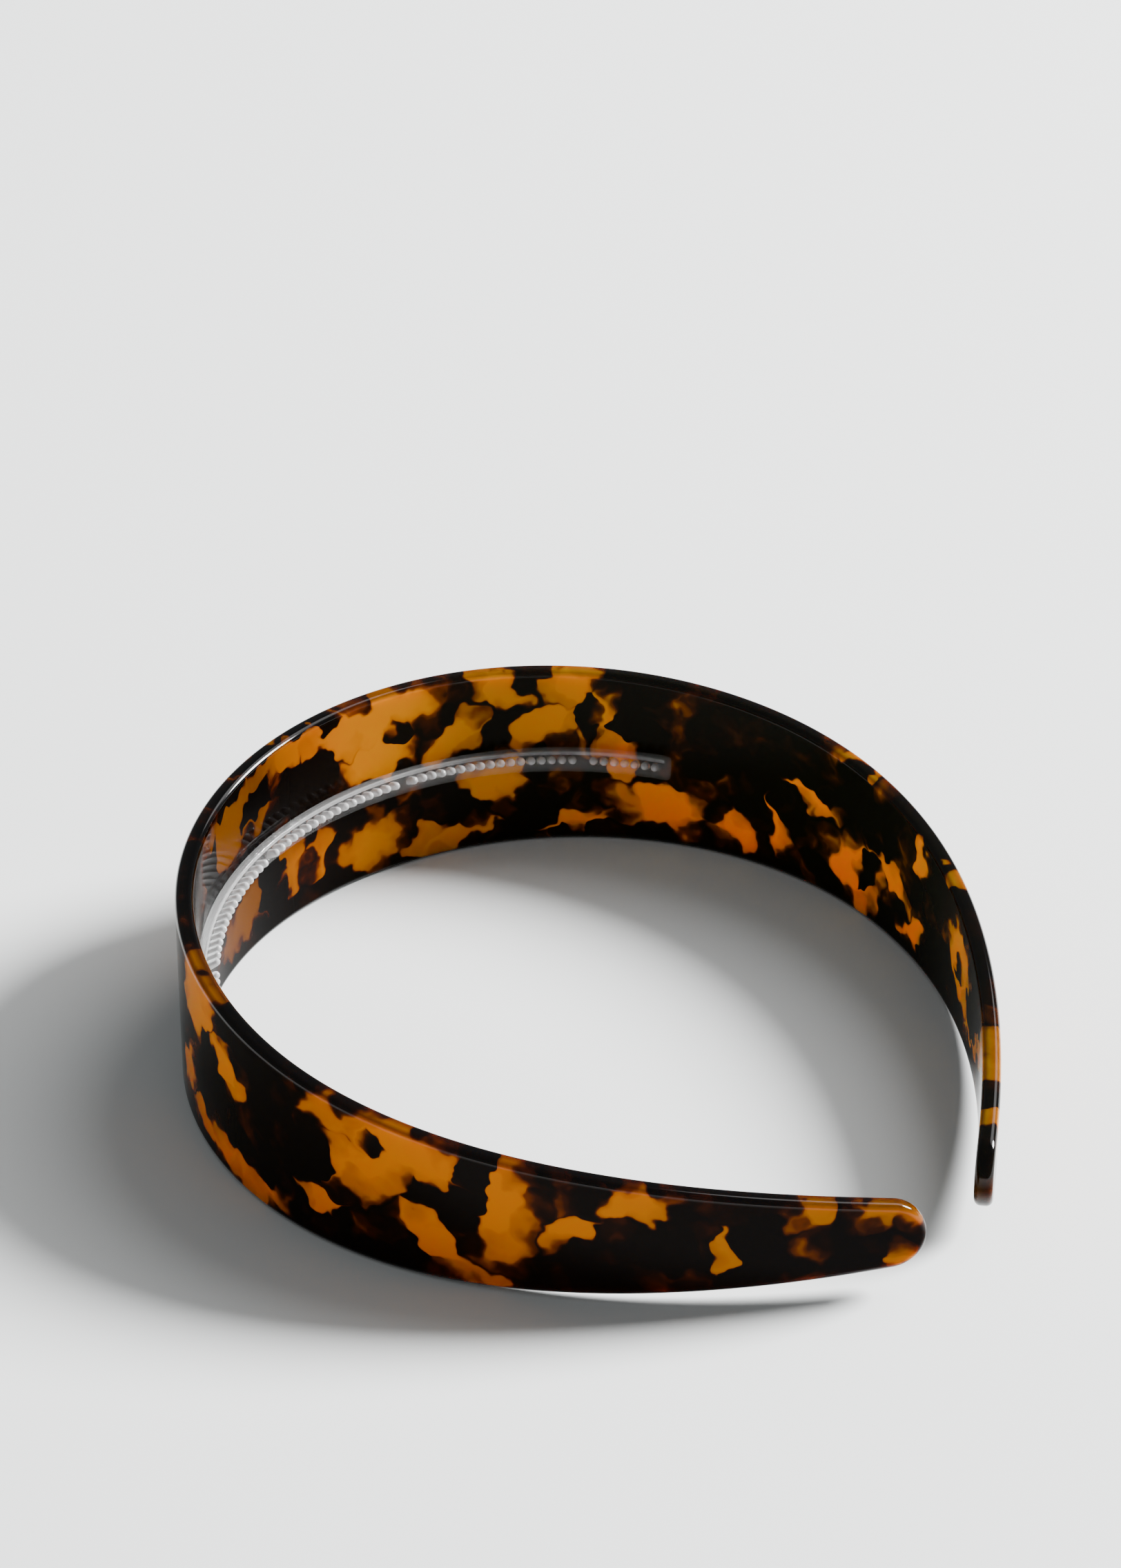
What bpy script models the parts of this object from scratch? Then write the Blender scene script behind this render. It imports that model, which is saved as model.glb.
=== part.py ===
"""Wide tortoiseshell headband with a clear comb strip bonded inside its crown.

The band lies on its lower edge, as it is put down on a table. X runs across the
head from arm to arm, Y from the tips (-Y) to the crown (+Y), and Z up from the
table. The origin is under the middle of the band, on the table.
"""
import math

import bmesh
import bpy
import numpy as np
from mathutils import Matrix, Vector

MM = 0.001

# Acetate band: a flat blank of even thickness, bent to a head shape.
CROWN_WIDTH = 36.0 * MM
TIP_WIDTH = 11.0 * MM
THICKNESS = 3.0 * MM
HALF_LENGTH = 202.0 * MM            # crown to tip, along the middle of the sheet
BEND_RADII = (66.0 * MM, 62.5 * MM, 59.5 * MM, 122.0 * MM, 340.0 * MM)   # even steps, crown to tip
TAPER_POWER = 2.0                   # the width falls with the square of the distance
TIP_ROUNDING = 5.0 * MM             # corner radius of the tips, seen on the flat blank
EDGE_ROUNDING = 0.7 * MM            # polished edges between faces and rims
REST_TILT = math.radians(3.0)       # the tapered band leans tips down when it lies on a table
BAND_STATIONS = 44
TIP_STATIONS = 6
PATH_STEPS = 800

# Clear comb strip: a thin moulded base, a rail along its upper side and one row of teeth.
FIT_GAP = 0.25 * MM                 # clearance between neighbouring pieces
FILM_THICKNESS = 0.15 * MM
FILM_WIDTH = 4.0 * MM
FILM_HALF_LENGTH = 66.0 * MM
STRIP_THICKNESS = 1.0 * MM
STRIP_WIDTH = 4.6 * MM
STRIP_HALF_LENGTH = 67.5 * MM
STRIP_ROUNDING = 1.0 * MM
STRIP_STATIONS = 20
RAIL_WIDTH = 0.8 * MM
RAIL_HEIGHT = 0.4 * MM
RAIL_FROM_EDGE = 0.2 * MM
TOOTH_GROUPS = (7, 17, 17, 17, 7)   # one tooth is left out between groups
TOOTH_PITCH = 1.91 * MM
TOOTH_RADIUS = 0.85 * MM
TOOTH_TIP_RADIUS = 0.65 * MM
TOOTH_LENGTH = 2.8 * MM             # from the base's face to the tip, along the tooth
TOOTH_LEAN = math.radians(30)       # the teeth lean upwards
TOOTH_RISE = 0.2 * MM               # tooth roots above the middle of the strip
TOOTH_SIDES = 8
ROOT_DEPTH = 0.4 * MM               # how far rail and teeth reach into the base

MERGE = 0.00001

AMBER = (0.42, 0.17, 0.012)
CLEAR = (0.86, 0.86, 0.85)
FILM_TINT = (0.90, 0.88, 0.82)


def follow_bend():
    """Arc length, x, y and turning angle along one arm of the middle surface."""
    arc = np.linspace(0.0, HALF_LENGTH, PATH_STEPS + 1)
    knots = np.linspace(0.0, HALF_LENGTH, len(BEND_RADII))
    curvature = np.interp(arc, knots, 1.0 / np.array(BEND_RADII))
    turn = running_integral(curvature, arc)
    return arc, running_integral(np.cos(turn), arc), running_integral(-np.sin(turn), arc), turn


def running_integral(values, arc):
    steps = 0.5 * (values[1:] + values[:-1]) * np.diff(arc)
    return np.concatenate(([0.0], np.cumsum(steps)))


ARC, PATH_X, PATH_Y, PATH_TURN = follow_bend()
TIP_Y = PATH_Y[-1] + 0.5 * THICKNESS * math.cos(PATH_TURN[-1])
MIDDLE_Y = 0.5 * (0.5 * THICKNESS + TIP_Y)


def on_path(distance, outward):
    """Plan position at a distance from the crown, moved outward from the middle surface."""
    turn = np.interp(distance, ARC, PATH_TURN)
    x = np.interp(distance, ARC, PATH_X) + outward * math.sin(turn)
    y = np.interp(distance, ARC, PATH_Y) + outward * math.cos(turn)
    return x, y - MIDDLE_Y


def middle_height(distance):
    """Height of the band's middle line, which sinks towards the tips."""
    return 0.5 * CROWN_WIDTH + np.interp(distance, ARC, PATH_Y) * math.tan(REST_TILT)


def band_edges(distance):
    """Lower and upper edge of the band. The lower edge is flat where it lies on the table."""
    fall = (distance / HALF_LENGTH) ** TAPER_POWER
    width = CROWN_WIDTH - (CROWN_WIDTH - TIP_WIDTH) * fall
    middle = middle_height(distance)
    return max(0.0, middle - 0.5 * width), middle + 0.5 * width


def strip_edges(width, shift=0.0):
    """A rule for a strip of even width that follows the band's middle line."""
    def edges(distance):
        middle = middle_height(distance) + shift
        return middle - 0.5 * width, middle + 0.5 * width
    return edges


def rounded_stations(half_length, rounding, count, round_count):
    """Distances from the crown, each with how much both edges pull in at the rounded end."""
    stations = [(half_length - rounding) * i / count for i in range(count)]
    result = [(distance, 0.0) for distance in stations]
    for i in range(round_count + 1):
        angle = 0.5 * math.pi * i / round_count
        distance = half_length - rounding + rounding * math.sin(angle)
        result.append((distance, rounding * (1.0 - math.cos(angle))))
    return result


def make_material(name, colour, roughness, alpha=1.0):
    material = bpy.data.materials.new(name)
    material.use_nodes = True
    shader = material.node_tree.nodes["Principled BSDF"]
    shader.inputs["Base Color"].default_value = (*colour, 1.0)
    shader.inputs["Roughness"].default_value = roughness
    shader.inputs["Metallic"].default_value = 0.0
    shader.inputs["Alpha"].default_value = alpha
    return material


def make_ribbon(name, stations, edges, outward, thickness, collection):
    """Half a ribbon, open at the crown, mirrored across X and thickened on both sides."""
    bm = bmesh.new()
    bmesh.ops.create_grid(bm, x_segments=len(stations) - 1, y_segments=1, size=1.0)
    end = set()
    for vert in bm.verts:
        step = round(0.5 * (vert.co.x + 1.0) * (len(stations) - 1))
        distance, pull = stations[step]
        low, high = edges(distance)
        x, y = on_path(distance, outward)
        height = low + pull if vert.co.y < 0.0 else high - pull
        vert.co = Vector((x, y, height))
        if pull > 0.0:
            end.add(vert)
    # one face spans the rounded end, which leaves room for the rounding of its edges
    rungs = [edge for edge in bm.edges if len(edge.link_faces) == 2 and end.issuperset(edge.verts)]
    bmesh.ops.dissolve_edges(bm, edges=rungs)
    mesh = bpy.data.meshes.new(name)
    bm.to_mesh(mesh)
    bm.free()
    mesh.shade_smooth()
    ribbon = bpy.data.objects.new(name, mesh)
    collection.objects.link(ribbon)
    mirror = ribbon.modifiers.new("other arm", "MIRROR")
    mirror.merge_threshold = MERGE
    solidify = ribbon.modifiers.new("thickness", "SOLIDIFY")
    solidify.thickness = thickness
    solidify.offset = 0.0
    return ribbon


def make_band(collection):
    stations = rounded_stations(HALF_LENGTH, TIP_ROUNDING, BAND_STATIONS, TIP_STATIONS)
    band = make_ribbon("acetate_band", stations, band_edges, 0.0, THICKNESS, collection)
    bevel = band.modifiers.new("polished edges", "BEVEL")
    bevel.width = EDGE_ROUNDING
    bevel.segments = 2
    bevel.limit_method = "ANGLE"
    bevel.angle_limit = math.radians(50)
    band.data.materials.append(make_material("tortoiseshell acetate", AMBER, 0.12))
    return band


def tooth_distances():
    """Distances of the teeth from the crown, negative on the other arm."""
    slots = sum(TOOTH_GROUPS) + len(TOOTH_GROUPS) - 1
    slot = -0.5 * (slots - 1)
    distances = []
    for group in TOOTH_GROUPS:
        distances += [(slot + i) * TOOTH_PITCH for i in range(group)]
        slot += group + 1
    return distances


def make_teeth(face, collection):
    """One row of tapered round teeth that point into the head space and lean upwards."""
    bm = bmesh.new()
    length = TOOTH_LENGTH + ROOT_DEPTH
    reach = 0.5 * length - ROOT_DEPTH
    for distance in tooth_distances():
        side = -1.0 if distance < 0.0 else 1.0
        turn = np.interp(abs(distance), ARC, PATH_TURN)
        x, y = on_path(abs(distance), face)
        root = Vector((side * x, y, middle_height(abs(distance)) + TOOTH_RISE))
        inward = Vector((-side * math.sin(turn), -math.cos(turn), 0.0))
        aim = inward * math.cos(TOOTH_LEAN) + Vector((0.0, 0.0, math.sin(TOOTH_LEAN)))
        bmesh.ops.create_cone(
            bm,
            cap_ends=True,
            segments=TOOTH_SIDES,
            radius1=TOOTH_RADIUS,
            radius2=TOOTH_TIP_RADIUS,
            depth=length,
            matrix=Matrix.Translation(root + aim * reach) @ aim.to_track_quat("Z", "Y").to_matrix().to_4x4(),
        )
    mesh = bpy.data.meshes.new("comb_teeth")
    bm.to_mesh(mesh)
    bm.free()
    teeth = bpy.data.objects.new("comb_teeth", mesh)
    collection.objects.link(teeth)
    return teeth


def join_to(target, piece):
    piece.hide_render = True
    piece.display_type = "WIRE"
    union = target.modifiers.new(piece.name, "BOOLEAN")
    union.operation = "UNION"
    union.solver = "EXACT"
    union.object = piece


def make_comb(parts, joined):
    """Base ribbon, rail and teeth, all one clear moulding."""
    face = -0.5 * THICKNESS - 2.0 * FIT_GAP - FILM_THICKNESS
    inner_face = face - STRIP_THICKNESS
    stations = rounded_stations(STRIP_HALF_LENGTH, STRIP_ROUNDING, STRIP_STATIONS, 3)
    comb = make_ribbon("comb_strip", stations, strip_edges(STRIP_WIDTH),
                       0.5 * (face + inner_face), STRIP_THICKNESS, parts)
    comb.data.materials.append(make_material("clear moulded plastic", CLEAR, 0.08, 0.45))

    rail_length = STRIP_HALF_LENGTH - STRIP_ROUNDING
    rail_shift = 0.5 * (STRIP_WIDTH - RAIL_WIDTH) - RAIL_FROM_EDGE
    rail = make_ribbon("comb_rail", rounded_stations(rail_length, 0.25 * MM, STRIP_STATIONS, 1),
                       strip_edges(RAIL_WIDTH, rail_shift),
                       inner_face + 0.5 * (ROOT_DEPTH - RAIL_HEIGHT), ROOT_DEPTH + RAIL_HEIGHT, joined)
    join_to(comb, rail)
    join_to(comb, make_teeth(inner_face, joined))
    return comb


def make_film(collection):
    """Thin clear adhesive between the band's inner face and the comb strip."""
    stations = rounded_stations(FILM_HALF_LENGTH, STRIP_ROUNDING, STRIP_STATIONS, 3)
    outward = -0.5 * THICKNESS - FIT_GAP - 0.5 * FILM_THICKNESS
    film = make_ribbon("adhesive_film", stations, strip_edges(FILM_WIDTH),
                       outward, FILM_THICKNESS, collection)
    film.data.materials.append(make_material("clear adhesive", FILM_TINT, 0.3, 0.35))
    return film


def new_collection(name):
    collection = bpy.data.collections.new(name)
    bpy.context.scene.collection.children.link(collection)
    return collection


def main():
    for old in list(bpy.data.objects):
        bpy.data.objects.remove(old, do_unlink=True)
    parts = new_collection("headband")
    joined = new_collection("joined shapes")
    make_band(parts)
    make_film(parts)
    make_comb(parts, joined)


main()
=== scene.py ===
"""Looks of a wide tortoiseshell headband with a clear comb strip inside its crown."""
import math

import bmesh
import bpy
import numpy as np
from mathutils import Matrix, Vector


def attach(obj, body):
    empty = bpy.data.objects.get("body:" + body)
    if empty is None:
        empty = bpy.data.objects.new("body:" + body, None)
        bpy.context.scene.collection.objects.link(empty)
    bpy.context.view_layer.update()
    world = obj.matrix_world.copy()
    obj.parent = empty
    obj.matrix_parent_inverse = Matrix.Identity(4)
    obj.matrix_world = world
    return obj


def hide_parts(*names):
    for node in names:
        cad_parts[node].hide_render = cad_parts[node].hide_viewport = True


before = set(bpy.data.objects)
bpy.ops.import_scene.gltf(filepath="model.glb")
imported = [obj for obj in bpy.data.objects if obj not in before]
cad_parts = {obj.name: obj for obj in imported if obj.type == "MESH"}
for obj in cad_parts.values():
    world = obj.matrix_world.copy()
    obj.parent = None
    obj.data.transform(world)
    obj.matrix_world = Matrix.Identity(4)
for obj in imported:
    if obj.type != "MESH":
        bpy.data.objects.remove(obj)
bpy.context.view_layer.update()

MM = 0.001

# The band: a flat sheet, tapered and bent by the same rules as the CAD part.
CROWN_WIDTH = 36.0 * MM
TIP_WIDTH = 11.0 * MM
THICKNESS = 3.0 * MM
HALF_LENGTH = 202.0 * MM            # crown to tip, along the middle of the sheet
BEND_RADII = (66.0 * MM, 62.5 * MM, 59.5 * MM, 122.0 * MM, 340.0 * MM)   # even steps, crown to tip
TAPER_POWER = 2                     # the width falls with the square of the distance
TIP_ROUNDING = 5.2 * MM             # corner radius of the tips, seen on the flat sheet
EDGE_ROUNDING = 1.1 * MM            # polished edges between faces and rims
EDGE_STEPS = 8
REST_TILT = math.radians(3.0)       # the band leans tips down when it lies on its lower edge
PATH_STEPS = 2000
BAND_STATIONS = 190
TIP_STATIONS = 16
FLAT_RING = 1.15                    # a ring this much further in than the rounding keeps faces flat
MERGE = 0.000001

# The adhesive film and the comb strip on the band's inner face.
BOND_GAP = 0.02 * MM                # keeps neighbouring faces apart
FILM_THICKNESS = 0.1 * MM
FILM_WIDTH = 4.0 * MM
FILM_HALF_LENGTH = 66.0 * MM
FILM_EDGE_ROUNDING = 0.03 * MM
STRIP_THICKNESS = 1.0 * MM
STRIP_WIDTH = 4.6 * MM
STRIP_HALF_LENGTH = 67.5 * MM
STRIP_ROUNDING = 1.0 * MM           # corner radius of the ends of strip and film
STRIP_EDGE_ROUNDING = 0.25 * MM
STRIP_STATIONS = 90
RAIL_WIDTH = 0.8 * MM
RAIL_HEIGHT = 0.4 * MM
RAIL_FROM_EDGE = 0.1 * MM
RAIL_ROOT = 0.3 * MM                # how far the rail reaches into the base
RAIL_ROUNDING = 0.3 * MM
RAIL_EDGE_ROUNDING = 0.15 * MM
SMALL_EDGE_STEPS = 3
TOOTH_GROUPS = (7, 17, 17, 17, 7)   # one tooth is left out between groups
TOOTH_PITCH = 1.91 * MM
TOOTH_RADIUS = 0.85 * MM
TOOTH_TIP_RADIUS = 0.68 * MM
TOOTH_LENGTH = 2.9 * MM
TOOTH_LEAN = math.radians(30)       # the teeth lean upwards
TOOTH_RISE = 0.2 * MM               # tooth roots above the middle of the strip
TOOTH_ROOT = 0.4 * MM               # how far the teeth reach into the base
TOOTH_SIDES = 20
DOME_STEPS = 5
SHARP_ANGLE = math.radians(40)      # sharper edges of the comb stay crisp

# The larger amber patches of the sheet, in mm and degrees: along, across, length, width, tilt.
AMBER_PATCHES = (
    # near arm, from the tip
    (-195, 5, 11, 5, 15), (-198, -4, 6, 4, 0), (-184, 6, 7, 5, -10), (-171, -1, 3, 9, 0),
    (-157, 7.5, 10, 5, 0), (-147, 1.5, 8, 4, -30), (-137, 4, 9, 18, 0), (-120, 9, 26, 10, 5),
    (-114, 3, 12, 8, 0), (-127, -6.5, 19, 5, 38), (-106, -6, 8, 3, 0), (-96, -11, 8, 5, -10),
    (-82, -11, 19, 7, 0), (-83, 5, 9, 6, 20), (-73, 11, 14, 12, -45), (-68, -6, 6, 11, 30),
    # crown
    (-25, 11, 26, 13, 0), (-8, 15.5, 16, 5, 0), (10, 14, 26, 9, 0), (13, 6, 13, 8, 0),
    (-22, -9, 15, 10, 10), (-8, -7, 10, 8, 20), (0, -8, 4, 9, -15), (12, -11, 12, 10, 0),
    (28, -14, 15, 5, 5), (29, 6, 10, 6, 30), (36, 15, 11, 4, -35), (35.5, -4, 9, 8, 10),
    (45, 7, 15, 6, 35), (49, 14, 7, 10, 0), (54, 9, 8, 11, 0), (58, 1, 5, 9, 0),
    (50, -13, 14, 4, 15),
    # far arm, towards its tip
    (66, -9, 14, 8, -10), (79, -10, 6, 8, 20), (87.5, -5, 3, 10, 15), (95, 3.5, 13, 3, -12),
    (105, -6, 12, 12, 0), (114, -1, 12, 4, -20), (122, -8, 10, 4, 25), (126, 9, 4, 7, 0),
    (147, 3, 15, 13, -20), (157, -4, 14, 5, 25), (134, 14, 8, 4, 0), (105, 15.5, 9, 3, 0),
    (175, 5, 20, 6, 30), (190, 2, 14, 5, 20),
)
# Dark chips that lie inside the amber patches.
DARK_PATCHES = (
    (-117, 9, 4, 4, 0), (-128, 3, 12, 5, -15), (-133, 9, 3, 8, 0), (-106, 1, 4, 6, 20),
    (-16, 10.5, 9, 4, 0), (-25, 16.5, 6, 4, 0), (-34, 9, 6, 7, 30), (-2, 8.5, 11, 7, -10),
    (-12, -9, 5, 10, 10), (-22, -4, 5, 4, 0), (0, 17.5, 7, 3, 0), (18, 9, 4, 3, 0),
    (51.5, 9, 3, 8, 10), (60, 9, 5, 6, 0), (50, -15, 6, 3, 10), (109, -4, 3, 9, -35),
    (146, 1.5, 4, 4, 0), (157, -1, 7, 6, 0),
)
PATCH_REACH = 0.75                  # a patch fades out at this share of its length from its middle

# The tortoiseshell pattern.
FLAKE_SCALE = 230.0                 # flakes per metre
FLAKE_SMOOTHNESS = 0.75
FLAKE_SHARE = 0.75                  # how far patch outlines follow whole flakes
FLAKE_CHANCE = 0.36                 # how much one flake differs from the next
BEND_SCALE = 230.0
BEND_REACH = 6.5 * MM
DRIFT_SCALE = 210.0
DRIFT_REACH = 0.5
DARK_STRENGTH = 1.6                 # how strongly a dark chip removes the amber
MIDDLE_LAYER = 0.5 * MM             # inner and outer colours blend across the sheet's middle
COLOUR_STOPS = (                    # from black-brown through red-brown to amber
    (0.02, (0.0024, 0.0017, 0.0015)),
    (0.10, (0.0060, 0.0022, 0.0012)),
    (0.18, (0.020, 0.0045, 0.0010)),
    (0.26, (0.090, 0.019, 0.0008)),
    (0.34, (0.230, 0.076, 0.0005)),
    (0.60, (0.300, 0.112, 0.0005)),
)
# Painted shade darkens the rims, the surfaces that point up or down, and the rims are shinier than the
# faces. The stops say how far a surface points up or down.
RIM_PAINTED_SHADE_STOPS = ((0.15, (1.0, 1.0, 1.0)), (0.75, (0.26, 0.24, 0.30)))
SHINE_STOPS = ((0.02, (0.02, 0.02, 0.02)), (0.30, (0.22, 0.22, 0.22)))
# Painted light and shade: how strongly the colours show along the sheet, on its outer and inner face, from
# the near tip (0) over the crown (0.5) to the far tip (1).
OUTER_PAINTED_LIGHT_STOPS = ((0.0, (0.78, 0.76, 0.8)), (0.13, (1.30, 1.25, 1.0)), (0.30, (1.45, 1.45, 1.0)))
INNER_PAINTED_LIGHT_STOPS = (
    (0.30, (0.38, 0.30, 0.3)),
    (0.376, (0.145, 0.105, 0.05)),
    (0.463, (0.20, 0.145, 0.1)),
    (0.50, (0.80, 0.58, 0.4)),
    (0.55, (1.40, 1.36, 0.7)),
    (0.624, (1.60, 2.30, 0.8)),
    (0.723, (1.85, 3.00, 1.0)),
    (0.87, (1.75, 2.60, 1.0)),
)

# The clear comb: its base nearly disappears, its rail and teeth stand out.
BASE_ALPHA = 0.10
RELIEF_ALPHA = 0.90
RELIEF_HEIGHT = 0.6 * MM

# Camera: it aims at a point on the table, from a distance, at an elevation and a heading.
AIM = Vector((0.0550, 0.0662, 0.0))
CAMERA_DISTANCE = 0.945
CAMERA_ELEVATION = math.radians(33.39)
CAMERA_HEADING = math.radians(45.88)     # 0 looks along +Y, positive turns towards +X
LENS_MM = 122.45
SENSOR_MM = 36.0

# Studio.
LIGHT_DISTANCE = 3.0
FLOOR_SIZE = 6.0
FLOOR_COLOUR = (0.80, 0.815, 0.81)
SKY_COLOUR = (0.95, 0.98, 1.0)
SKY_STRENGTH = 0.26


def running_integral(values, arc):
    """The integral of values along arc, from its start to each point."""
    steps = 0.5 * (values[1:] + values[:-1]) * np.diff(arc)
    return np.concatenate(([0.0], np.cumsum(steps)))


ARC = np.linspace(0.0, HALF_LENGTH, PATH_STEPS + 1)
BEND_KNOTS = np.linspace(0.0, HALF_LENGTH, len(BEND_RADII))
PATH_TURN = running_integral(np.interp(ARC, BEND_KNOTS, 1.0 / np.array(BEND_RADII)), ARC)
PATH_X = running_integral(np.cos(PATH_TURN), ARC)
PATH_Y = running_integral(-np.sin(PATH_TURN), ARC)
MIDDLE_Y = 0.5 * (0.5 * THICKNESS + PATH_Y[-1] + 0.5 * THICKNESS * math.cos(PATH_TURN[-1]))


def on_path(distance, outward):
    """Plan position at a distance from the crown, moved outward from the middle of the sheet."""
    turn = np.interp(distance, ARC, PATH_TURN)
    x = np.interp(distance, ARC, PATH_X) + outward * math.sin(turn)
    y = np.interp(distance, ARC, PATH_Y) + outward * math.cos(turn)
    return x, y - MIDDLE_Y


def middle_height(distance):
    """Height of the band's middle line, which sinks towards the tips."""
    return 0.5 * CROWN_WIDTH + np.interp(distance, ARC, PATH_Y) * math.tan(REST_TILT)


def band_edges(distance):
    """Lower and upper edge of the band. The lower edge is flat where it lies on the table."""
    width = CROWN_WIDTH - (CROWN_WIDTH - TIP_WIDTH) * (distance / HALF_LENGTH) ** TAPER_POWER
    middle = middle_height(distance)
    return max(0.0, middle - 0.5 * width), middle + 0.5 * width


def strip_edges(width, shift=0.0):
    """A rule for a strip of even width that follows the band's middle line."""
    def edges(distance):
        middle = middle_height(distance) + shift
        return middle - 0.5 * width, middle + 0.5 * width
    return edges


def rounded_stations(half_length, rounding, count, inset):
    """Distances from the crown, each with how far both edges pull in there, for a rounded end."""
    result = [((half_length - rounding) * i / count, inset) for i in range(count)]
    for i in range(TIP_STATIONS + 1):
        angle = 0.5 * math.pi * i / TIP_STATIONS
        result.append((half_length - rounding + (rounding - inset) * math.sin(angle),
                       rounding - (rounding - inset) * math.cos(angle)))
    return result


def rounding_levels(thickness, rounding, steps):
    """Pairs (through, inset) from one face of a sheet with rounded edges to the other."""
    levels = [(-0.5 * thickness, FLAT_RING * rounding)]
    for i in range(steps + 1):
        angle = 0.5 * math.pi * i / steps
        through = -0.5 * thickness + rounding * (1.0 - math.cos(angle))
        levels.append((through, rounding * (1.0 - math.sin(angle))))
    return levels + [(-through, inset) for through, inset in reversed(levels)]


def make_ribbon(name, half_length, end_rounding, edges, outward, thickness, rounding, steps, count):
    """A bent sheet with rounded ends and rounded edges: half of it as rings, then mirrored across X."""
    bm = bmesh.new()
    rings = []
    for through, inset in rounding_levels(thickness, rounding, steps):
        ring = []
        for distance, pull in rounded_stations(half_length, end_rounding, count, inset):
            low, high = edges(distance)
            x, y = on_path(distance, outward + through)
            ring.append((bm.verts.new((x, y, low + pull)), bm.verts.new((x, y, high - pull))))
        rings.append(ring)
    for ring, after in zip(rings, rings[1:]):
        for i in range(len(ring) - 1):
            for edge in (0, 1):
                bm.faces.new((ring[i][edge], ring[i + 1][edge], after[i + 1][edge], after[i][edge]))
        bm.faces.new((ring[-1][0], ring[-1][1], after[-1][1], after[-1][0]))
    for ring in (rings[0], rings[-1]):
        for i in range(len(ring) - 1):
            bm.faces.new((ring[i][0], ring[i + 1][0], ring[i + 1][1], ring[i][1]))
    mirrored = bmesh.ops.duplicate(bm, geom=bm.verts[:] + bm.edges[:] + bm.faces[:])["geom"]
    for vert in mirrored:
        if isinstance(vert, bmesh.types.BMVert):
            vert.co.x = -vert.co.x
    bmesh.ops.remove_doubles(bm, verts=bm.verts[:], dist=MERGE)
    bmesh.ops.recalc_face_normals(bm, faces=bm.faces[:])
    mesh = bpy.data.meshes.new(name)
    bm.to_mesh(mesh)
    bm.free()
    mesh.shade_smooth()
    ribbon = bpy.data.objects.new(name, mesh)
    bpy.context.scene.collection.objects.link(ribbon)
    return ribbon


def bake_modifiers(piece):
    """Replaces the piece's mesh by what its modifiers make of it."""
    evaluated = piece.evaluated_get(bpy.context.evaluated_depsgraph_get())
    mesh = bpy.data.meshes.new_from_object(evaluated)
    old = piece.data
    piece.modifiers.clear()
    piece.data = mesh
    bpy.data.meshes.remove(old)
    mesh.name = piece.name


def add_sheet_coordinates(piece):
    """Stores where each point lies in the flat sheet: along it, across it and through it."""
    count = len(piece.data.vertices)
    points = np.empty(count * 3)
    piece.data.vertices.foreach_get("co", points)
    points = points.reshape(count, 3)
    side = np.where(points[:, 0] < 0.0, -1.0, 1.0)
    x = np.abs(points[:, 0])
    y = points[:, 1] + MIDDLE_Y
    along = np.empty(count)
    through = np.empty(count)
    for i in range(count):
        nearest = np.argmin((PATH_X - x[i]) ** 2 + (PATH_Y - y[i]) ** 2)
        dx = x[i] - PATH_X[nearest]
        dy = y[i] - PATH_Y[nearest]
        turn = PATH_TURN[nearest]
        along[i] = ARC[nearest] + dx * math.cos(turn) - dy * math.sin(turn)
        through[i] = dx * math.sin(turn) + dy * math.cos(turn)
    across = points[:, 2] - middle_height(along)
    sheet = piece.data.attributes.new("sheet", "FLOAT_VECTOR", "POINT")
    sheet.data.foreach_set("vector", np.stack([side * along, across, through], axis=1).ravel())


class Nodes:
    """Small helper that adds and links shader nodes."""

    def __init__(self, name):
        self.material = bpy.data.materials.new(name)
        self.material.use_nodes = True
        self.tree = self.material.node_tree
        self.shader = self.tree.nodes["Principled BSDF"]

    def add(self, kind, inputs=(), **settings):
        node = self.tree.nodes.new(kind)
        for key, value in settings.items():
            setattr(node, key, value)
        for key, value in dict(inputs).items():
            socket = node.inputs[key] if isinstance(key, int) else next(
                one for one in node.inputs if one.name == key and one.enabled)
            if isinstance(value, bpy.types.NodeSocket):
                self.tree.links.new(value, socket)
            else:
                socket.default_value = value
        return node

    def math(self, operation, a, b=0.0):
        return self.add("ShaderNodeMath", {0: a, 1: b}, operation=operation).outputs[0]

    def vector_math(self, operation, inputs):
        return self.add("ShaderNodeVectorMath", inputs, operation=operation).outputs[0]

    def mix(self, factor, a, b, kind="RGBA", **settings):
        node = self.add("ShaderNodeMix", {"Factor": factor, "A": a, "B": b}, data_type=kind, **settings)
        return next(socket for socket in node.outputs if socket.enabled)

    def noise(self, vector, scale, detail):
        return self.add("ShaderNodeTexNoise", {"Vector": vector, "Scale": scale, "Detail": detail})

    def map_range(self, value, start, end, low=0.0, high=1.0):
        inputs = {"Value": value, "From Min": start, "From Max": end, "To Min": low, "To Max": high}
        return self.add("ShaderNodeMapRange", inputs).outputs["Result"]

    def ramp(self, factor, stops):
        node = self.add("ShaderNodeValToRGB", {"Fac": factor})
        while len(node.color_ramp.elements) < len(stops):
            node.color_ramp.elements.new(0.5)
        for element, (position, colour) in zip(node.color_ramp.elements, stops):
            element.position = position
            element.color = (*colour, 1.0)
        return node.outputs["Color"]

    def link(self, output, socket):
        self.tree.links.new(output, self.shader.inputs[socket])


def patch_amount(n, place, patches):
    """1 in the middle of a patch, 0 outside them all."""
    amount = 0.0
    for along, across, length, width, tilt in patches:
        local = n.add("ShaderNodeMapping", {
            "Vector": place, "Location": (along * MM, across * MM, 0.0),
            "Rotation": (0.0, 0.0, math.radians(tilt)),
            "Scale": (PATCH_REACH * length * MM, PATCH_REACH * width * MM, 1.0)}, vector_type="TEXTURE")
        inputs = {"Vector": local.outputs["Vector"]}
        patch = n.add("ShaderNodeTexGradient", inputs, gradient_type="SPHERICAL")
        amount = n.math("MAXIMUM", patch.outputs["Fac"], amount)
    return amount


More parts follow.
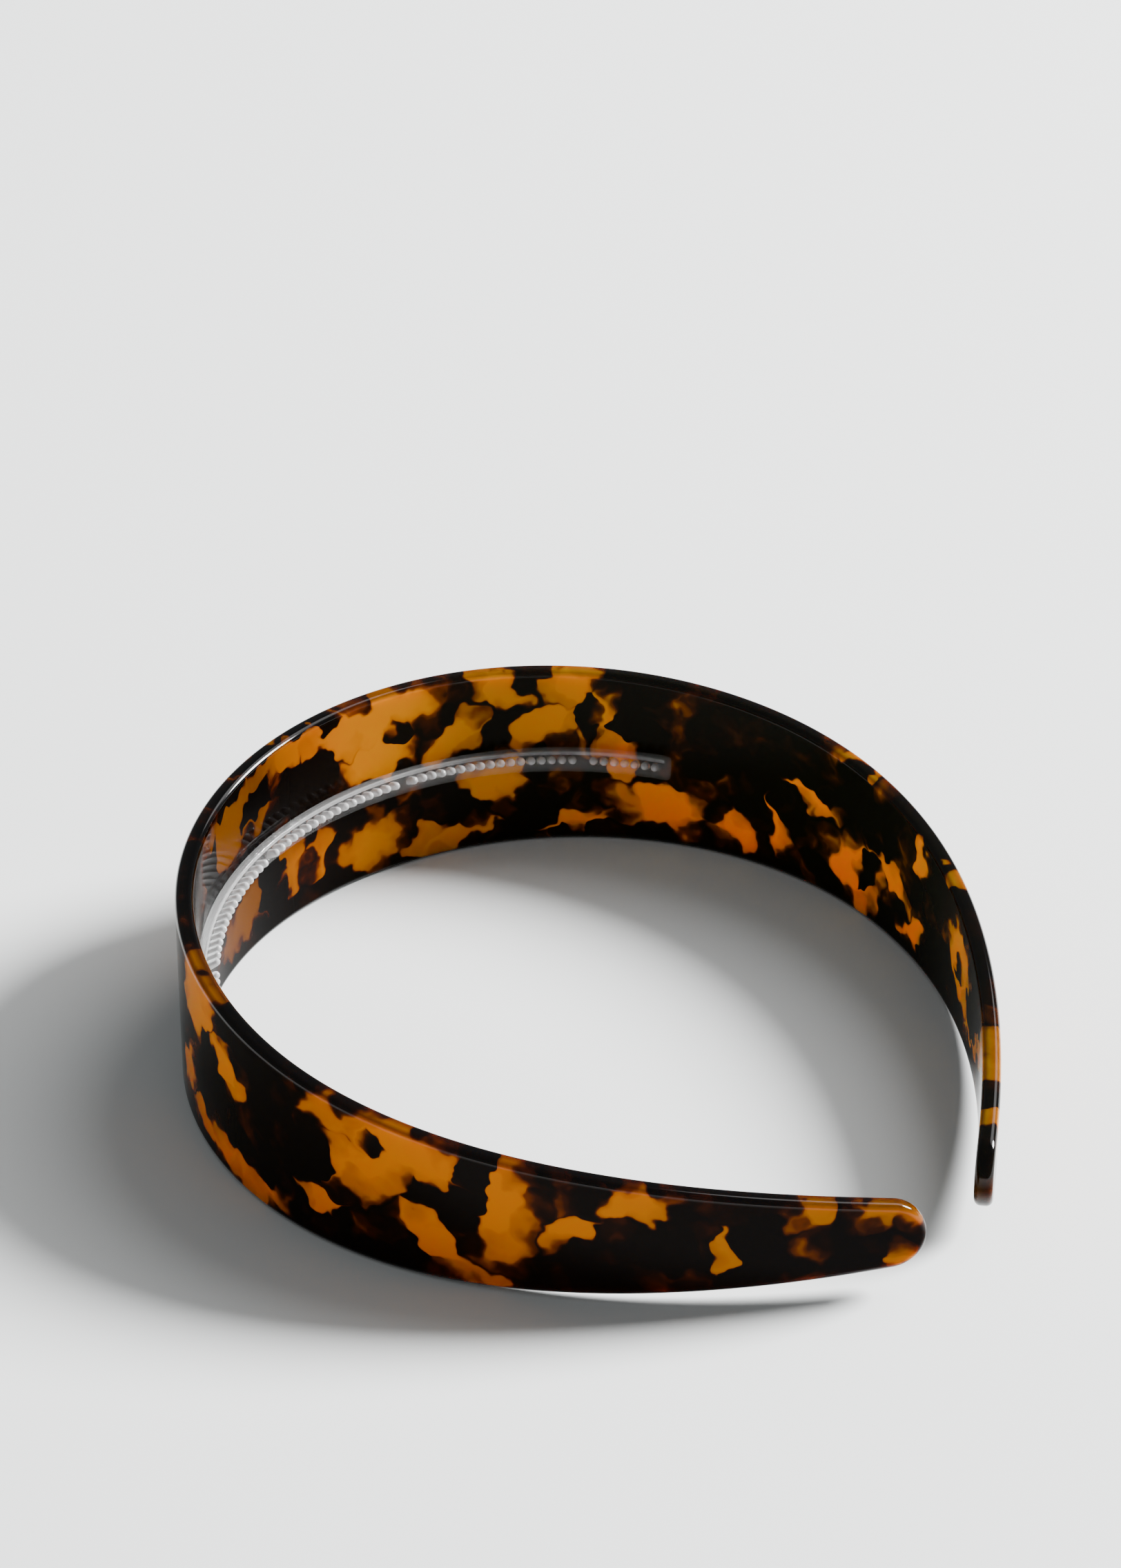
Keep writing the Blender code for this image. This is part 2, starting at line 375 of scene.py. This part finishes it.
def flake_amount(n, sheet):
    """How amber the sheet is at a point: angular flakes with soft borders fill the patches."""
    warp = n.noise(sheet, BEND_SCALE, 1.5).outputs["Color"]
    bend = n.vector_math("SUBTRACT", {0: warp, 1: (0.5, 0.5, 0.5)})
    bend = n.vector_math("SCALE", {0: bend, "Scale": BEND_REACH})
    bent = n.vector_math("ADD", {0: sheet, 1: bend})
    flakes = n.add("ShaderNodeTexVoronoi",
                   {"Vector": bent, "Scale": FLAKE_SCALE, "Smoothness": FLAKE_SMOOTHNESS},
                   voronoi_dimensions="2D", feature="SMOOTH_F1")
    place = n.mix(FLAKE_SHARE, bent, flakes.outputs["Position"], "VECTOR")
    amber = patch_amount(n, place, AMBER_PATCHES)
    dark = patch_amount(n, place, DARK_PATCHES)
    amount = n.math("SUBTRACT", amber, n.math("MULTIPLY", dark, DARK_STRENGTH))
    chance = n.add("ShaderNodeSeparateColor", {"Color": flakes.outputs["Color"]}).outputs["Red"]
    amount = n.math("ADD", amount, n.math("MULTIPLY", n.math("SUBTRACT", chance, 0.5), FLAKE_CHANCE))
    drift = n.noise(bent, DRIFT_SCALE, 1.0).outputs["Fac"]
    return n.math("ADD", amount, n.math("MULTIPLY", n.math("SUBTRACT", drift, 0.5), DRIFT_REACH))


def make_acetate():
    """Highly polished tortoiseshell acetate, which lets some light in below its surface. Painted light and
    shade make its colours stronger or weaker along the band.
    """
    n = Nodes("tortoiseshell acetate")
    sheet = n.add("ShaderNodeAttribute", attribute_name="sheet").outputs["Vector"]
    colour = n.ramp(flake_amount(n, sheet), COLOUR_STOPS)
    normal = n.add("ShaderNodeNewGeometry").outputs["Normal"]
    facing = n.math("ABSOLUTE", n.add("ShaderNodeSeparateXYZ", {"Vector": normal}).outputs["Z"])
    # painted shade: surfaces that point up or down, the rims, get darker colours
    colour = n.mix(1.0, colour, n.ramp(facing, RIM_PAINTED_SHADE_STOPS), blend_type="MULTIPLY")

    # painted light and shade: the colours are made stronger or weaker along the sheet, for the outer and
    # inner face apart
    place = n.add("ShaderNodeSeparateXYZ", {"Vector": sheet})
    along = n.map_range(place.outputs["X"], -HALF_LENGTH, HALF_LENGTH)
    outside = n.map_range(place.outputs["Z"], -MIDDLE_LAYER, MIDDLE_LAYER)
    painted_light = n.mix(outside, n.ramp(along, INNER_PAINTED_LIGHT_STOPS), n.ramp(along, OUTER_PAINTED_LIGHT_STOPS))
    n.link(n.mix(1.0, colour, painted_light, blend_type="MULTIPLY"), "Base Color")
    n.link(n.ramp(facing, SHINE_STOPS), "Specular IOR Level")
    n.shader.inputs["Subsurface Weight"].default_value = 1.0
    n.shader.inputs["Subsurface Radius"].default_value = (1.0, 0.60, 0.10)
    n.shader.inputs["Subsurface Scale"].default_value = 7.0 * MM
    n.shader.inputs["Roughness"].default_value = 0.08
    n.shader.inputs["IOR"].default_value = 1.5
    return n.material


def make_clear(name, roughness, ior, alpha, transmission=1.0):
    """Clear plastic. The alpha thins it out, so that what lies behind stays visible."""
    n = Nodes(name)
    n.shader.inputs["Base Color"].default_value = (1.0, 1.0, 1.0, 1.0)
    n.shader.inputs["Transmission Weight"].default_value = transmission
    n.shader.inputs["IOR"].default_value = ior
    n.shader.inputs["Roughness"].default_value = roughness
    n.shader.inputs["Alpha"].default_value = alpha
    return n


def make_band():
    band = make_ribbon("tortoiseshell_band", HALF_LENGTH, TIP_ROUNDING, band_edges, 0.0,
                       THICKNESS, EDGE_ROUNDING, EDGE_STEPS, BAND_STATIONS)
    add_sheet_coordinates(band)
    band.data.materials.append(make_acetate())
    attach(band, "root")
    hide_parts("acetate_band")


def tooth_distances():
    """Distances of the teeth from the crown, negative on the other arm."""
    slots = sum(TOOTH_GROUPS) + len(TOOTH_GROUPS) - 1
    slot = -0.5 * (slots - 1)
    distances = []
    for group in TOOTH_GROUPS:
        distances += [(slot + i) * TOOTH_PITCH for i in range(group)]
        slot += group + 1
    return distances


def make_teeth(face):
    """Round teeth with domed tips, each turned from a profile."""
    bm = bmesh.new()
    profile = [(TOOTH_RADIUS, -TOOTH_ROOT), (TOOTH_RADIUS, 0.0)]
    for i in range(DOME_STEPS):
        angle = 0.5 * math.pi * i / DOME_STEPS
        profile.append((TOOTH_TIP_RADIUS * math.cos(angle),
                        TOOTH_LENGTH - TOOTH_TIP_RADIUS * (1.0 - math.sin(angle))))
    for distance in tooth_distances():
        side = -1.0 if distance < 0.0 else 1.0
        turn = np.interp(abs(distance), ARC, PATH_TURN)
        x, y = on_path(abs(distance), face)
        root = Vector((side * x, y, middle_height(abs(distance)) + TOOTH_RISE))
        inward = Vector((-side * math.sin(turn), -math.cos(turn), 0.0))
        aim = inward * math.cos(TOOTH_LEAN) + Vector((0.0, 0.0, math.sin(TOOTH_LEAN)))
        place = Matrix.Translation(root) @ aim.to_track_quat("Z", "Y").to_matrix().to_4x4()
        rings = []
        for radius, height in profile:
            ring = []
            for k in range(TOOTH_SIDES):
                angle = 2.0 * math.pi * k / TOOTH_SIDES
                point = Vector((radius * math.cos(angle), radius * math.sin(angle), height))
                ring.append(bm.verts.new(place @ point))
            rings.append(ring)
        bm.faces.new(list(reversed(rings[0])))
        for lower, upper in zip(rings, rings[1:]):
            for k in range(TOOTH_SIDES):
                m = (k + 1) % TOOTH_SIDES
                bm.faces.new((lower[k], lower[m], upper[m], upper[k]))
        tip = bm.verts.new(place @ Vector((0.0, 0.0, TOOTH_LENGTH)))
        for k in range(TOOTH_SIDES):
            bm.faces.new((rings[-1][k], rings[-1][(k + 1) % TOOTH_SIDES], tip))
    mesh = bpy.data.meshes.new("teeth")
    bm.to_mesh(mesh)
    bm.free()
    teeth = bpy.data.objects.new("teeth", mesh)
    bpy.context.scene.collection.objects.link(teeth)
    return teeth


def join_to(target, piece):
    """Merges the piece into the target as one solid."""
    union = target.modifiers.new(piece.name, "BOOLEAN")
    union.operation = "UNION"
    union.solver = "EXACT"
    union.object = piece
    bake_modifiers(target)
    bpy.data.objects.remove(piece, do_unlink=True)


def make_comb():
    """Base, rail and teeth, all one clear moulding."""
    face = -0.5 * THICKNESS - FILM_THICKNESS - 2.0 * BOND_GAP
    inner_face = face - STRIP_THICKNESS
    comb = make_ribbon("clear_comb", STRIP_HALF_LENGTH, STRIP_ROUNDING, strip_edges(STRIP_WIDTH),
                       0.5 * (face + inner_face), STRIP_THICKNESS, STRIP_EDGE_ROUNDING,
                       SMALL_EDGE_STEPS, STRIP_STATIONS)
    rail_shift = 0.5 * (STRIP_WIDTH - RAIL_WIDTH) - RAIL_FROM_EDGE
    rail = make_ribbon("rail", STRIP_HALF_LENGTH - STRIP_ROUNDING, RAIL_ROUNDING,
                       strip_edges(RAIL_WIDTH, rail_shift), inner_face + 0.5 * (RAIL_ROOT - RAIL_HEIGHT),
                       RAIL_ROOT + RAIL_HEIGHT, RAIL_EDGE_ROUNDING, SMALL_EDGE_STEPS, STRIP_STATIONS)
    join_to(comb, rail)
    join_to(comb, make_teeth(inner_face))
    comb.data.shade_smooth()
    comb.data.set_sharp_from_angle(angle=SHARP_ANGLE)
    comb.data.materials.clear()
    add_sheet_coordinates(comb)
    n = make_clear("clear comb plastic", 0.04, 1.5, RELIEF_ALPHA, 0.66)
    sheet = n.add("ShaderNodeAttribute", attribute_name="sheet").outputs["Vector"]
    through = n.add("ShaderNodeSeparateXYZ", {"Vector": sheet}).outputs["Z"]
    n.link(n.map_range(through, inner_face, inner_face - RELIEF_HEIGHT, BASE_ALPHA, RELIEF_ALPHA), "Alpha")
    comb.data.materials.append(n.material)
    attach(comb, "root")
    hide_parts("comb_strip")


def make_film():
    outward = -0.5 * THICKNESS - BOND_GAP - 0.5 * FILM_THICKNESS
    film = make_ribbon("clear_adhesive", FILM_HALF_LENGTH, STRIP_ROUNDING, strip_edges(FILM_WIDTH),
                       outward, FILM_THICKNESS, FILM_EDGE_ROUNDING, 1, STRIP_STATIONS)
    film.data.materials.append(make_clear("clear adhesive", 0.1, 1.2, 0.15).material)
    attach(film, "root")
    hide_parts("adhesive_film")


def make_floor():
    bpy.ops.mesh.primitive_plane_add(size=FLOOR_SIZE, location=(0.0, 0.0, 0.0))
    floor = bpy.context.object
    floor.name = "floor"
    n = Nodes("pale table")
    n.shader.inputs["Base Color"].default_value = (*FLOOR_COLOUR, 1.0)
    n.shader.inputs["Roughness"].default_value = 0.9
    n.shader.inputs["Specular IOR Level"].default_value = 0.1
    floor.data.materials.append(n.material)


def look_from(place, target):
    """Rotation that turns a camera or a light at a place towards a target."""
    return (target - place).to_track_quat("-Z", "Y").to_euler()


def heading_vector(heading, elevation):
    """Unit vector that points from the object towards something at that heading and elevation."""
    return Vector((math.sin(heading) * math.cos(elevation),
                   math.cos(heading) * math.cos(elevation), math.sin(elevation)))


def make_camera():
    camera = bpy.data.objects.new("camera", bpy.data.cameras.new("camera"))
    bpy.context.scene.collection.objects.link(camera)
    camera.data.sensor_width = SENSOR_MM
    camera.data.lens = LENS_MM
    back = heading_vector(CAMERA_HEADING + math.pi, CAMERA_ELEVATION)
    camera.location = AIM + back * CAMERA_DISTANCE
    camera.rotation_euler = look_from(camera.location, AIM)
    bpy.context.scene.camera = camera


def add_area(name, heading, elevation, width, height, power):
    """Soft light that aims at the origin. Its heading is counted from the way the camera looks."""
    light = bpy.data.lights.new(name, "AREA")
    light.shape = "ELLIPSE"
    light.size = width
    light.size_y = height
    light.energy = power
    lamp = bpy.data.objects.new(name, light)
    bpy.context.scene.collection.objects.link(lamp)
    towards = heading_vector(CAMERA_HEADING + math.radians(heading), math.radians(elevation))
    lamp.location = towards * LIGHT_DISTANCE
    lamp.rotation_euler = look_from(lamp.location, Vector((0.0, 0.0, 0.0)))


def make_lights():
    world = bpy.data.worlds.new("studio")
    world.use_nodes = True
    background = world.node_tree.nodes["Background"]
    background.inputs["Color"].default_value = (*SKY_COLOUR, 1.0)
    background.inputs["Strength"].default_value = SKY_STRENGTH
    bpy.context.scene.world = world
    add_area("key", heading=69.5, elevation=32.0, width=1.0, height=1.15, power=515.0)
    add_area("fill", heading=50.0, elevation=50.0, width=1.8, height=1.8, power=40.0)


make_camera()
make_band()
make_film()
make_comb()
make_floor()
make_lights()
